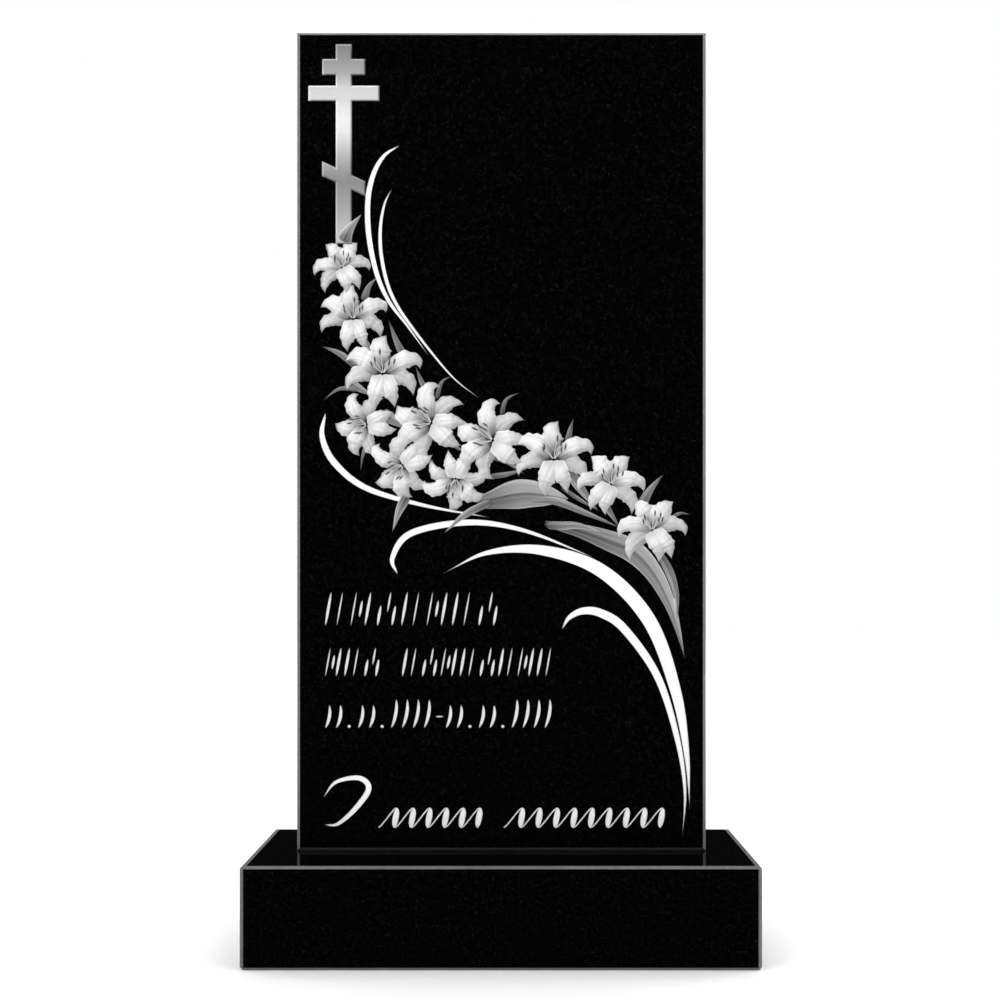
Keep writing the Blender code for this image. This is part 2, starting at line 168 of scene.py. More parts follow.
def grain_group():
    """The crystals of black granite: dark grains with a few paler ones, as a colour and a value,
    and the broad clouds that an uneven hone leaves."""
    group = bpy.data.node_groups.new("granite grain", "ShaderNodeTree")
    group.interface.new_socket("Colour", in_out="OUTPUT", socket_type="NodeSocketColor")
    group.interface.new_socket("Gloss change", in_out="OUTPUT", socket_type="NodeSocketFloat")
    group.interface.new_socket("Clouds", in_out="OUTPUT", socket_type="NodeSocketFloat")
    place = node(group, "ShaderNodeTexCoord").outputs["Object"]
    crystal = node(group, "ShaderNodeTexVoronoi", Vector=place, Scale=1100.0)
    pale_share = node(group, "ShaderNodeMapRange", Value=crystal.outputs["Color"],
                      From_Min=0.62, From_Max=0.85, To_Min=0.0, To_Max=1.0)
    cloud = node(group, "ShaderNodeTexNoise", Vector=place, Scale=260.0, Detail=3.0)
    patch = node(group, "ShaderNodeMapRange", Value=cloud.outputs["Fac"],
                 From_Min=0.42, From_Max=0.70, To_Min=0.0, To_Max=1.0)
    both = node(group, "ShaderNodeMath", {"operation": "MULTIPLY"},
                _0=pale_share.outputs[0], _1=patch.outputs[0])
    mixed = node(group, "ShaderNodeMix", {"data_type": "RGBA"}, _0=both.outputs[0],
                 _6=(0.0005, 0.0005, 0.0006, 1), _7=(0.014, 0.0144, 0.0155, 1))
    change = node(group, "ShaderNodeMapRange", Value=cloud.outputs["Fac"], To_Min=0.03, To_Max=0.09)
    broad = node(group, "ShaderNodeTexNoise", Vector=place, Scale=9.0, Detail=8.0, Roughness=0.62)
    clouds = node(group, "ShaderNodeMapRange", Value=broad.outputs["Fac"], From_Min=0.3, From_Max=0.7,
                  To_Min=0.72, To_Max=1.28)
    speckled = node(group, "ShaderNodeMath", {"operation": "MULTIPLY_ADD"}, _0=both.outputs[0], _1=0.9,
                    _2=clouds.outputs[0])
    node(group, "NodeGroupOutput", Colour=mixed.outputs[2], Gloss_change=change.outputs[0],
         Clouds=speckled.outputs[0])
    return group


def edge_group():
    """A mask of a block's chamfers, which are ground matt and painted a pale grey as a painted
    highlight: where a point is near two faces of its box at once. By the block's ends the painted
    highlight reaches a little further in over the polish."""
    group = bpy.data.node_groups.new("ground and highlit edges", "ShaderNodeTree")
    for name, kind in (("Middle", "Vector"), ("Half size", "Vector"), ("Chamfer", "Float"),
                       ("End reach", "Float"), ("Top reach", "Float")):
        group.interface.new_socket(name, in_out="INPUT", socket_type="NodeSocket" + kind)
    group.interface.new_socket("Mask", in_out="OUTPUT", socket_type="NodeSocketFloat")
    given = node(group, "NodeGroupInput").outputs
    place = node(group, "ShaderNodeTexCoord").outputs["Object"]
    from_middle = node(group, "ShaderNodeVectorMath", {"operation": "SUBTRACT"}, _0=place, _1=given[0])
    size = node(group, "ShaderNodeVectorMath", {"operation": "ABSOLUTE"}, _0=from_middle.outputs[0])
    inside = node(group, "ShaderNodeVectorMath", {"operation": "SUBTRACT"}, _0=given[1], _1=size.outputs[0])
    parts = node(group, "ShaderNodeSeparateXYZ", _0=inside.outputs[0])
    to_x, to_y, to_z = parts.outputs
    near_end, near_top_end, near_face, near_bed = (
        node(group, "ShaderNodeMath", {"operation": "LESS_THAN"}, _0=distance, _1=reach).outputs[0]
        for distance, reach in ((to_x, given[3]), (to_x, given[4]), (to_y, given[2]), (to_z, given[2])))
    pairs = [node(group, "ShaderNodeMath", {"operation": "MULTIPLY"}, _0=a, _1=b).outputs[0]
             for a, b in ((near_end, near_face), (near_face, near_bed), (near_top_end, near_bed))]
    most = node(group, "ShaderNodeMath", {"operation": "MAXIMUM"}, _0=pairs[0], _1=pairs[1])
    total = node(group, "ShaderNodeMath", {"operation": "MAXIMUM"}, _0=most.outputs[0], _1=pairs[2])
    node(group, "NodeGroupOutput", Mask=total.outputs[0])
    return group


def granite(name, middle, half_size, chamfer, end_reach, top_reach, face_sharpness):
    """Black granite: polished, with a honed back and a sawn underside. Its chamfers are ground
    matt and painted a pale grey as a painted highlight.
    """
    material = new_material(name)
    tree = material.node_tree
    grain = node(tree, "ShaderNodeGroup", {"node_tree": granite_grain})
    edges = node(tree, "ShaderNodeGroup", {"node_tree": ground_and_highlit_edges}, Middle=middle, Half_size=half_size,
                 Chamfer=chamfer, End_reach=end_reach, Top_reach=top_reach)
    place = node(tree, "ShaderNodeTexCoord").outputs["Object"]
    parts = node(tree, "ShaderNodeSeparateXYZ", _0=place)
    behind = node(tree, "ShaderNodeMath", {"operation": "GREATER_THAN"}, _0=parts.outputs[1],
                  _1=middle[1] + half_size[1] - face_sharpness)
    below = node(tree, "ShaderNodeMath", {"operation": "LESS_THAN"}, _0=parts.outputs[2],
                 _1=middle[2] - half_size[2] + face_sharpness)
    scratch = node(tree, "ShaderNodeTexNoise", Vector=place, Scale=1500.0, Detail=2.0)
    scratched = node(tree, "ShaderNodeMapRange", Value=scratch.outputs["Fac"], To_Min=0.75, To_Max=1.25)
    scratched = node(tree, "ShaderNodeMath", {"operation": "MULTIPLY"}, _0=scratched.outputs[0],
                     _1=grain.outputs["Clouds"])
    saw = node(tree, "ShaderNodeTexWave", {"bands_direction": "Z"}, Vector=place, Scale=55.0,
               Distortion=5.0, Detail=3.0, Detail_Scale=2.0)
    colour = grain.outputs["Colour"]
    rough = grain.outputs["Gloss change"]
    # The chamfers' pale grey is partly their ground finish and partly a painted highlight along the edges
    for mask, finish, finish_rough in ((behind, HONED_COLOUR, 0.38), (edges, GROUND_HIGHLIGHT_COLOUR, 0.60),
                                       (below, SAWN_COLOUR, 0.85)):
        worn_and_highlit = node(tree, "ShaderNodeMix", {"data_type": "RGBA", "blend_type": "MULTIPLY"}, _0=1.0,
                    _6=finish, _7=scratched.outputs[0])
        colour = node(tree, "ShaderNodeMix", {"data_type": "RGBA"}, _0=mask.outputs[0], _6=colour,
                      _7=worn_and_highlit.outputs[2]).outputs[2]
        rough = node(tree, "ShaderNodeMix", {"data_type": "FLOAT"}, _0=mask.outputs[0], _2=rough,
                     _3=finish_rough).outputs[0]
    uneven = node(tree, "ShaderNodeMath", {"operation": "MULTIPLY"}, _0=saw.outputs["Fac"], _1=below.outputs[0])
    bump = node(tree, "ShaderNodeBump", Height=uneven.outputs[0], Distance=0.0004, Strength=0.6)
    stone = node(tree, "ShaderNodeBsdfPrincipled", Base_Color=colour, Roughness=rough, Normal=bump.outputs[0],
                 IOR=1.52)
    node(tree, "ShaderNodeOutputMaterial", Surface=stone.outputs[0])
    return material


granite_grain = grain_group()
ground_and_highlit_edges = edge_group()
plinth_granite = granite("plinth_granite", tuple((plinth_low + plinth_high) / 2),
                         tuple((plinth_high - plinth_low) / 2), PLINTH_CHAMFER, PLINTH_END_REACH,
                         PLINTH_TOP_REACH, 0.0004)
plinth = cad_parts["plinth"]
for holder in plinth.material_slots:
    holder.material = plinth_granite


# The flourishes: long tapering sweeps that frame the spray, cut into the polished face with a
# rounded crest and left the palest tone that the stone takes. They are laid out, like all of
# the engraving, in millimetres on a sheet whose origin is the lower left corner of the face.
slab_low, slab_high = (np.array(corner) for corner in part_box("stela"))
FACE_Y = slab_low[1]
SHEET_SIZE = (500.0, 1000.0)
CUT_FLOOR = 2.6
# Each flourish: its widest place as a share of its length, how slender its ends are, its width
# at the widest place, and its knots
FLOURISHES = {
    "upper outer": (0.42, 0.8, 6.8, [(125, 861), (107, 849), (94, 827), (87, 795), (88, 752), (97, 707),
                                     (112, 672), (135, 641), (160, 606)]),
    "upper inner": (0.45, 0.8, 4.6, [(116, 808), (107, 789), (102, 758), (104, 722), (115, 681), (138, 643),
                                     (187, 582), (222, 553)]),
    "left": (0.40, 0.8, 8.0, [(35, 534), (31, 506), (46, 474), (85, 443), (155, 422), (236, 407)]),
    "lower left": (0.45, 0.8, 8.0, [(123, 338), (117, 358), (140, 388), (210, 401), (278, 391), (361, 359)]),
    "large": (0.52, 1.2, 17.5, [(179, 339), (233, 364), (300, 367), (372, 342), (430, 282), (462, 198),
                                (476, 120), (480, 51)]),
    "lower right": (0.45, 0.95, 10.5, [(324, 271), (333, 285), (350, 293), (372, 290), (400, 271), (440, 214),
                                       (464, 140), (474, 75), (471, 17)]),
}
FLOURISH_STEPS = 80
FLOURISH_EDGE = 1.0
FLOURISH_CREST = 0.4
BEND_SHARE = 0.85
FLOURISH_TONE = 0.99
cut_outlines = []


def smooth_path(knots, steps):
    """A Catmull-Rom curve through the knots, the same number of points between each two."""
    knots = np.array(knots, dtype=float)
    ends = np.vstack([2 * knots[0] - knots[1], knots, 2 * knots[-1] - knots[-2]])
    places = np.linspace(0, len(knots) - 1, steps + 1)
    span = np.minimum(places.astype(int), len(knots) - 2)
    t = (places - span)[:, None]
    a, b, c, d = ends[span], ends[span + 1], ends[span + 2], ends[span + 3]
    return b + (c - a) * t / 2 + (2 * a - 5 * b + 4 * c - d) * t**2 / 2 + (3 * b - a - 3 * c + d) * t**3 / 2


def swell(along, widest=0.5, fullness=0.8):
    """Rises from 0 to 1 at the widest share and falls to 0: the power of a stretched half sine."""
    wave = np.sin(np.pi * along ** (math.log(0.5) / math.log(widest)))
    return np.clip(wave, 0, 1) ** fullness


def ribbon(path, half_left, half_right, across):
    """A grid of points beside a path: each row is the path's point plus a share, from -1 on the
    right to +1 on the left, of the half width along the path's normal. Inside a bend the half
    width stays within a share of the bend's radius, so that the grid can't fold over."""
    heading = np.gradient(path, axis=0)
    pace = np.linalg.norm(heading, axis=1)
    heading /= pace[:, None]
    aside = np.stack([-heading[:, 1], heading[:, 0]], axis=1)
    bend = (np.gradient(heading, axis=0) * aside).sum(axis=1) / pace
    half_left = np.minimum(half_left, BEND_SHARE / np.maximum(bend, 1e-6))
    half_right = np.minimum(half_right, BEND_SHARE / np.maximum(-bend, 1e-6))
    share = np.linspace(-1, 1, across + 1)
    reach = np.where(share[None, :] < 0, half_right[:, None], half_left[:, None]) * share[None, :]
    return path[:, None, :] + aside[:, None, :] * reach[:, :, None]


def carved_body(grid, depth, tone, seed):
    """One closed body from a grid of the sheet: its top lies at the given depths, and each row is
    a ring that goes on down to the floor of the cut at both edges. The ring is carried from row
    to row, and the first and last rows are capped. Its outline is kept for cutting the face."""
    rows, columns = depth.shape
    under = grid[:, [-1, 0]]
    flat = np.concatenate([grid, under], axis=1)
    deep = np.concatenate([depth, np.full((rows, 2), CUT_FLOOR)], axis=1)
    points = np.stack([(flat[..., 0] - SHEET_SIZE[0] / 2) / 1000, FACE_Y + deep / 1000,
                       slab_low[2] + flat[..., 1] / 1000], axis=-1).reshape(-1, 3)
    ring = columns + 2
    here = np.arange(ring)
    turn = np.roll(here, -1)
    start = np.arange(rows - 1)[:, None] * ring
    quads = np.stack([start + here, start + ring + here, start + ring + turn, start + turn], axis=-1)
    caps = [here.tolist(), ((rows - 1) * ring + here[::-1]).tolist()]
    shade = np.concatenate([tone, tone[:, [-1, 0]]], axis=1).ravel()
    along = np.repeat(np.linspace(0, 1, rows), ring)
    share = np.linspace(-1, 1, columns)
    place = np.stack([along, np.tile(np.concatenate([share, share[[-1, 0]]]), rows),
                      np.full(rows * ring, float(seed))], axis=-1)
    cut_outlines.append(np.concatenate([grid[:, 0], grid[::-1, -1]]))
    return points, quads.reshape(-1, 4), caps, shade, place


def carved_piece(name, bodies, material):
    """Joins carved bodies into one piece, with its tones and each point's place on its form."""
    counts = np.cumsum([0] + [len(body[0]) for body in bodies])
    faces = []
    for start, body in zip(counts, bodies):
        faces += (body[1] + start).tolist()
        faces += [[int(start) + corner for corner in cap] for cap in body[2]]
    mesh = bpy.data.meshes.new(name)
    mesh.from_pydata(np.concatenate([body[0] for body in bodies]).tolist(), [], faces)
    tones = mesh.attributes.new("tone", "FLOAT", "POINT")
    tones.data.foreach_set("value", np.concatenate([body[3] for body in bodies]).astype(np.float32))
    places = mesh.attributes.new("place", "FLOAT_VECTOR", "POINT")
    places.data.foreach_set("vector", np.concatenate([body[4] for body in bodies]).astype(np.float32).ravel())
    mesh.shade_smooth()
    mesh.set_sharp_from_angle(angle=math.radians(35))
    mesh.materials.append(material)
    piece = bpy.data.objects.new(name, mesh)
    bpy.context.collection.objects.link(piece)
    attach(piece, "root")
    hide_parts("stela")
    return piece


def etched_group():
    """The tone of etched stone: the tone painted on the form, ribbed along it, darker by the
    throat, paler at its rims, and broken up by the fine dots of the etching."""
    group = bpy.data.node_groups.new("etched tone", "ShaderNodeTree")
    for name in ("Ribs", "Rib depth", "Throat shade", "Rim light", "Dots"):
        group.interface.new_socket(name, in_out="INPUT", socket_type="NodeSocketFloat")
    group.interface.new_socket("Colour", in_out="OUTPUT", socket_type="NodeSocketColor")
    group.interface.new_socket("Height", in_out="OUTPUT", socket_type="NodeSocketFloat")
    given = node(group, "NodeGroupInput").outputs
    tone = node(group, "ShaderNodeAttribute", {"attribute_name": "tone"}).outputs["Fac"]
    place = node(group, "ShaderNodeAttribute", {"attribute_name": "place"}).outputs["Vector"]
    parts = node(group, "ShaderNodeSeparateXYZ", _0=place)
    along, share = parts.outputs[0], parts.outputs[1]
    spread = node(group, "ShaderNodeMath", {"operation": "MULTIPLY"}, _0=share, _1=given[0])
    seed = node(group, "ShaderNodeMath", {"operation": "MULTIPLY"}, _0=parts.outputs[2], _1=7.3)
    rib_place = node(group, "ShaderNodeCombineXYZ", _0=spread.outputs[0], _1=along, _2=seed.outputs[0])
    rib = node(group, "ShaderNodeTexNoise", Vector=rib_place.outputs[0], Scale=1.0, Detail=3.0, Roughness=0.55)
    near = node(group, "ShaderNodeMapRange", {"interpolation_type": "SMOOTHSTEP"}, Value=along,
                From_Min=0.0, From_Max=0.42, To_Min=1.0, To_Max=0.0)
    core = node(group, "ShaderNodeMapRange", {"interpolation_type": "SMOOTHSTEP"}, Value=along,
                From_Min=0.0, From_Max=0.13, To_Min=0.62, To_Max=0.0)
    more = node(group, "ShaderNodeMath", {"operation": "MULTIPLY_ADD"}, _0=near.outputs[0], _1=2.0, _2=1.0)
    centred = node(group, "ShaderNodeMapRange", {"clamp": False}, Value=rib.outputs["Fac"],
                   From_Min=0.25, From_Max=0.75, To_Min=-1.0, To_Max=1.0)
    ribbed = node(group, "ShaderNodeMath", {"operation": "MULTIPLY"}, _0=centred.outputs[0], _1=given[1])
    ribbed = node(group, "ShaderNodeMath", {"operation": "MULTIPLY"}, _0=ribbed.outputs[0], _1=more.outputs[0])
    throat = node(group, "ShaderNodeMath", {"operation": "MAXIMUM"}, _0=near.outputs[0], _1=0.0)
    throat = node(group, "ShaderNodeMath", {"operation": "MULTIPLY_ADD"}, _0=throat.outputs[0], _1=0.55,
                  _2=core.outputs[0])
    throat = node(group, "ShaderNodeMath", {"operation": "MULTIPLY"}, _0=throat.outputs[0], _1=given[2])
    side = node(group, "ShaderNodeMath", {"operation": "ABSOLUTE"}, _0=share)
    rim = node(group, "ShaderNodeMapRange", {"interpolation_type": "SMOOTHSTEP"}, Value=side.outputs[0],
               From_Min=0.80, From_Max=0.98)
    rim = node(group, "ShaderNodeMath", {"operation": "MULTIPLY"}, _0=rim.outputs[0], _1=given[3])
    where = node(group, "ShaderNodeTexCoord").outputs["Object"]
    dots = node(group, "ShaderNodeTexNoise", Vector=where, Scale=1300.0, Detail=1.0)
    dotted = node(group, "ShaderNodeMapRange", {"clamp": False}, Value=dots.outputs["Fac"],
                  From_Min=0.3, From_Max=0.7, To_Min=-1.0, To_Max=1.0)
    dotted = node(group, "ShaderNodeMath", {"operation": "MULTIPLY"}, _0=dotted.outputs[0], _1=given[4])
    total = tone
    for change in (ribbed, rim, dotted):
        total = node(group, "ShaderNodeMath", {"operation": "ADD"}, _0=total, _1=change.outputs[0]).outputs[0]
    total = node(group, "ShaderNodeMath", {"operation": "SUBTRACT", "use_clamp": True}, _0=total,
                 _1=throat.outputs[0])
    colour = node(group, "ShaderNodeMath", {"operation": "POWER"}, _0=total.outputs[0], _1=2.2)
    height = node(group, "ShaderNodeMath", {"operation": "ADD"}, _0=dotted.outputs[0], _1=ribbed.outputs[0])
    node(group, "NodeGroupOutput", Colour=colour.outputs[0], Height=height.outputs[0])
    return group


def etched(name, ribs, rib_depth, throat_shade, rim_light, dots):
    """Etched granite: matt and pale, in the tone of the form, with a fine pitted surface."""
    material = new_material(name)
    tree = material.node_tree
    tone = node(tree, "ShaderNodeGroup", {"node_tree": etched_tone}, Ribs=ribs, Rib_depth=rib_depth,
                Throat_shade=throat_shade, Rim_light=rim_light, Dots=dots)
    bump = node(tree, "ShaderNodeBump", Height=tone.outputs["Height"], Distance=0.0003, Strength=0.35)
    stone = node(tree, "ShaderNodeBsdfPrincipled", Base_Color=tone.outputs["Colour"], Roughness=0.85,
                 Normal=bump.outputs[0])
    stone.inputs["Specular IOR Level"].default_value = 0.25
    node(tree, "ShaderNodeOutputMaterial", Surface=stone.outputs[0])
    return material


def flourish(widest, fullness, width, knots):
    """A ribbon along its knots: the half width swells from the tips to the widest place, and its
    crest is a parabola across."""
    path = smooth_path(knots, FLOURISH_STEPS)
    along = np.linspace(0, 1, len(path))
    half = np.maximum(width / 2 * swell(along, widest, fullness), 0.12)
    grid = ribbon(path, half, half, 6)
    share = np.linspace(-1, 1, 7)
    depth = FLOURISH_EDGE - FLOURISH_CREST * (1 - share[None, :] ** 2) * (half / half.max())[:, None]
    return carved_body(grid, depth, np.full(depth.shape, FLOURISH_TONE), 0)


etched_tone = etched_group()
etched_white = etched("etched_white", 2.0, 0.01, 0.0, 0.0, 0.02)
carved_piece("flourishes", [flourish(*form) for form in FLOURISHES.values()], etched_white)


# The cross: four flat bars, cut as one form whose face stands in its own recess with bevelled
# edges. It is toned like brushed metal, pale by its main bar and darker at both ends.
# Each bar: its middle, its length, its thickness and its slope in degrees
CROSS_BARS = {
    "upright": (57.5, 863.0, 244.0, 20.0, 90.0),
    "title bar": (57.5, 957.0, 53.0, 20.0, 0.0),
    "main bar": (57.5, 925.0, 87.0, 19.0, 0.0),
    "foot bar": (57.5, 820.5, 53.5, 18.5, -25.0),
}
CROSS_BEVEL = 2.2
CROSS_EDGE = 1.1
CROSS_FACE = 0.5
CROSS_HEIGHTS = [741, 790, 820, 850, 882, 902, 915, 932, 950, 985]
CROSS_TONES = [0.74, 0.58, 0.50, 0.67, 0.87, 0.86, 0.79, 0.76, 0.61, 0.46]
CROSS_RIM_TONE = 0.34
BAR_STEPS = 16
CROSS_LIGHT = np.array([-0.64, 0.77])


def inside_bar(points, x, z, length, thickness, slope):
    """How far points lie inside a bar: the least distance to its four sides, below 0 outside."""
    if slope == 90.0:
        length, thickness, slope = thickness, length, 0.0
    tilt = math.tan(math.radians(slope))
    over = (points[:, 1] - z) - tilt * (points[:, 0] - x)
    across = (thickness / 2 - np.abs(over)) * math.cos(math.radians(slope))
    return np.minimum(length / 2 - np.abs(points[:, 0] - x), across)


def inside_cross(points):
    """How far points lie inside the nearest bar of the cross."""
    return np.max([inside_bar(points, *bar) for bar in CROSS_BARS.values()], axis=0)


def bar_outline(x, z, length, thickness, slope, inset):
    """Points along the four sides of a bar, moved inwards by an inset; a sloping bar keeps
    upright ends."""
    if slope == 90.0:
        length, thickness, slope = thickness, length, 0.0
    half = length / 2 - inset
    high = thickness / 2 - inset / math.cos(math.radians(slope))
    tilt = math.tan(math.radians(slope))
    signs = np.array([(-1, -1), (1, -1), (1, 1), (-1, 1)], dtype=float)
    corners = np.stack([x + signs[:, 0] * half, z + signs[:, 0] * half * tilt + signs[:, 1] * high], axis=-1)
    share = np.linspace(0, 1, BAR_STEPS, endpoint=False)[None, :, None]
    return (corners[:, None] * (1 - share) + np.roll(corners, -1, axis=0)[:, None] * share).reshape(-1, 2)


def triangulated(loops):
    """Flat triangles between closed loops, and for each triangle the loops that cover it."""
    flat = [tuple(point) for loop in loops for point in loop]
    starts = np.cumsum([0] + [len(loop) for loop in loops])
    rings = [list(range(a, b)) for a, b in zip(starts, starts[1:])]
    points, _, triangles, _, _, covers = delaunay_2d_cdt(flat, [], rings, 1, 0.002)
    return np.array([tuple(point) for point in points]), np.array(triangles), covers


def open_sides(triangles, count):
    """The directed sides that only one of the triangles has: the border of the region."""
    sides = np.concatenate([triangles[:, [0, 1]], triangles[:, [1, 2]], triangles[:, [2, 0]]])
    twin = np.isin(sides[:, 1] * count + sides[:, 0], sides[:, 0] * count + sides[:, 1])
    return sides[~twin]


def cross_body():
    """The union of the bars: a point's depth falls over the bevel's width with how far it lies
    inside the nearest bar. Its tone follows its height, and the bevels that face the upper left
    are paler, by how fast the distance inside grows away from there."""
    loops = [bar_outline(*bar, share * CROSS_BEVEL) for share in (0.0, 0.6, 1.0) for bar in CROSS_BARS.values()]
    cut_outlines.extend(loops[:len(CROSS_BARS)])
    points, triangles, covers = triangulated(loops)
    triangles = triangles[[len(cover) > 0 for cover in covers]]
    raised = np.clip(inside_cross(points) / CROSS_BEVEL, 0, 1)
    facing = inside_cross(points - CROSS_LIGHT / 2) - inside_cross(points + CROSS_LIGHT / 2)
    facing = facing * np.clip((1 - raised) / 0.3, 0, 1)
    depth = CROSS_EDGE + (CROSS_FACE - CROSS_EDGE) * raised
    count = len(points)
    deep = np.concatenate([depth, np.full(count, CUT_FLOOR)])
    flat = np.concatenate([points, points])
    places = np.stack([(flat[:, 0] - SHEET_SIZE[0] / 2) / 1000, FACE_Y + deep / 1000,
                       slab_low[2] + flat[:, 1] / 1000], axis=-1)
    border = open_sides(triangles, count)
    walls = np.stack([border[:, 0], border[:, 0] + count, border[:, 1] + count, border[:, 1]], axis=-1)
    underneath = (triangles[:, ::-1] + count).tolist()
    tone = np.interp(flat[:, 1], CROSS_HEIGHTS, CROSS_TONES) + CROSS_RIM_TONE * np.tile(facing, 2)
    place = np.stack([flat[:, 1] / 40, np.zeros(len(flat)), np.ones(len(flat))], axis=-1)
    return places, walls, triangles.tolist() + underneath, tone, place


etched_metal = etched("etched_metal", 2.0, 0.0, 0.0, 0.0, 0.015)
carved_piece("cross", [cross_body()], etched_metal)


# The leaves: lance-shaped, low in the relief and half hidden by the flowers, with a sunken
# midrib. The half that faces the upper left is toned paler, and the rims are picked out.
# Each leaf: its width, its base's share of that, how full its point is, how far it is raised
# over what lies under it, and the knots of its midrib from its base to its tip
LEAVES = [
    (18, 0.95, 1.3, 1.95, [(57, 744), (65, 760), (79, 777)]),
    (11, 0.90, 1.2, 0.0, [(82, 672), (88, 689), (100, 702)]),
    (11, 0.90, 1.2, 0.0, [(131, 604), (121, 624), (112, 649)]),
    (10, 0.70, 1.8, 0.0, [(76, 588), (53, 607), (31, 616)]),
    (7, 0.80, 1.5, 0.0, [(76, 563), (52, 564), (31, 549)]),
    (7, 0.80, 1.3, 0.0, [(171, 552), (177, 572), (190, 580)]),
    (9, 0.90, 1.3, 0.0, [(160, 556), (152, 574), (145, 592)]),
    (7, 0.90, 1.2, 0.0, [(88, 500), (81, 484), (78, 463)]),
    (15, 0.80, 1.4, 1.85, [(134, 432), (125, 415), (117, 390)]),
    (7, 0.80, 1.3, 0.0, [(250, 532), (256, 551), (273, 560)]),
    (9, 0.90, 1.2, 0.0, [(331, 500), (334, 514), (338, 528)]),
    (15, 0.95, 1.2, 0.0, [(417, 414), (431, 440), (448, 460)]),
    (6, 0.80, 1.3, 0.0, [(452, 401), (467, 412), (482, 410)]),
    (13, 0.90, 1.3, 0.0, [(96, 598), (88, 614), (82, 630)]),
    (15, 0.90, 1.6, 0.0, [(60, 574), (74, 566), (94, 555)]),
    (18, 0.80, 1.6, 0.0, [(104, 535), (118, 526), (136, 514)]),
    (10, 0.80, 1.8, 0.0, [(166, 504), (184, 499), (206, 486)]),
    (12, 0.70, 1.5, 1.90, [(236, 426), (205, 410), (180, 388)]),
    (11, 0.80, 1.6, 0.0, [(231, 484), (254, 477), (278, 460)]),
    (8, 0.80, 1.8, 0.0, [(236, 457), (257, 460), (282, 467)]),
    (38, 0.45, 4.0, 0.0, [(220, 424), (276, 436), (332, 430)]),
    (16, 0.80, 1.8, 0.0, [(327, 472), (345, 445), (368, 415)]),
    (12, 0.40, 2.0, 0.05, [(262, 424), (310, 428), (352, 413), (396, 394)]),
    (6, 0.80, 1.8, 0.1, [(323, 444), (347, 428), (370, 415)]),
    (10, 0.90, 1.4, 0.1, [(374, 426), (384, 411), (395, 394)]),
    (40, 0.28, 1.5, 0.0, [(303, 400), (342, 392), (378, 380), (410, 366), (434, 342), (452, 310), (464, 276),
                          (474, 234)]),
    (14, 0.60, 1.8, 0.1, [(436, 372), (453, 345), (463, 315), (465, 280)]),
    (12, 0.70, 2.2, 0.3, [(305, 397), (322, 397), (345, 397), (372, 389)]),
]
LEAF_STEPS = 36
LEAF_EDGE = 2.42
LEAF_CROWN = 0.30
LIGHT = np.array([-0.42, 0.50, 0.76])


def blade_half(along, width, base, full):
    """Half a blade's width: it grows from the base's share to the whole by the middle, and falls
    to nothing at the tip as one less a power; the higher the power, the blunter the shoulder."""
    grown = np.clip(along / 0.5, 0, 1)
    body = base + (1 - base) * grown**2 * (3 - 2 * grown)
    rounded = np.sqrt(1 - (1 - np.clip(along / 0.10, 0.12, 1)) ** 2)
    return width / 2 * body * rounded * (1 - along**full)


def leaf(number, width, base, full, lift, knots):
    """A ribbon along its midrib: each half is rounded, with a groove between them, and its tone
    is paler on the half whose side faces the light."""
    path = smooth_path(knots, LEAF_STEPS)
    along = np.linspace(0, 1, LEAF_STEPS + 1)
    aside = np.array([knots[0][1] - knots[-1][1], knots[-1][0] - knots[0][0]]) @ LIGHT[:2]
    half = np.maximum(blade_half(along, width, base, full), 0.12)
    grid = ribbon(path, half, half, 12)
    share = np.linspace(-1, 1, 13)
    rounded = np.sin(np.pi * np.abs(share)) ** 0.8
    depth = LEAF_EDGE - lift - LEAF_CROWN * rounded[None, :] * (half / half.max())[:, None]
    tone = 0.52 + 0.06 * np.sign(share * aside)[None, :] + 0.10 * np.abs(share)[None, :] ** 3
    tone = tone - 0.16 * np.exp(-((share / 0.10) ** 2))[None, :]
    tone = tone * (0.72 + 0.28 * np.clip(along / 0.45, 0, 1))[:, None] + 0.10 * along[:, None] ** 2
    return carved_body(grid, depth, tone, number)


etched_leaves = etched("etched_leaves", 6.0, 0.055, 0.0, 0.20, 0.02)
carved_piece("leaves", [leaf(i, *form) for i, form in enumerate(LEAVES)], etched_leaves)


# The lilies: eleven open flowers in a sweeping spray, carved in very low relief. Each has three
# far petals, three near ones over them, and stamens. Later flowers lie over earlier ones.
# Each lily: its throat, the reach of its petals, its turn in degrees, its form and its rank
LILIES = [
    (55, 712, 34, 2, "two up", 0),
    (69, 649, 40, 3, "one up", 1),
    (105, 582, 45, 0, "one up", 2),
    (86, 521, 37, 95, "one up", 0),
    (165, 522, 45, 68, "one up", 2),
    (240, 501, 45, 68, "one up", 3),
    (130, 471, 38, 125, "one up", 0),
    (194, 455, 37, 176, "one up", 1),
    (314, 477, 45, 0, "one up", 4),
    (384, 447, 40, 0, "two up, mirrored", 5),
    (434, 391, 41, 0, "two up", 5),
]
